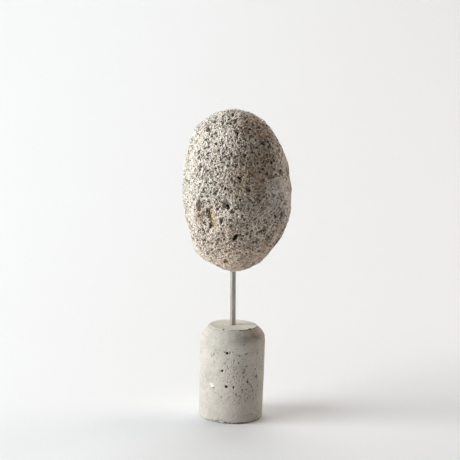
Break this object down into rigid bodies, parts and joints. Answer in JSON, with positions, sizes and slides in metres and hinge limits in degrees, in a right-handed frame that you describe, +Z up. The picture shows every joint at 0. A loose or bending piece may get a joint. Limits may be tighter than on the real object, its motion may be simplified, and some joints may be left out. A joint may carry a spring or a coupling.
{
  "type": "meteorite stone on a rod stand",
  "caption": "Egg-shaped, densely pitted natural stone held upright by a thin steel rod in a round cast concrete base.",
  "frame": {"origin": "middle of the base's underside, on the surface that it stands on", "axes": "+Z up, -Y towards the front, +X to the right seen from the front"},
  "size_m": [0.0957, 0.0791, 0.2751],
  "materials": {
    "pitted_stone": "dry, rough and full of pores",
    "rod_steel": "drawn bar with a dull satin surface",
    "cast_concrete": "smooth cast, matt, with air holes"
  },
  "bodies": {
    "root": {"stone": "pitted_stone", "rod": "rod_steel", "base": "cast_concrete"}
  },
  "joints": []
}
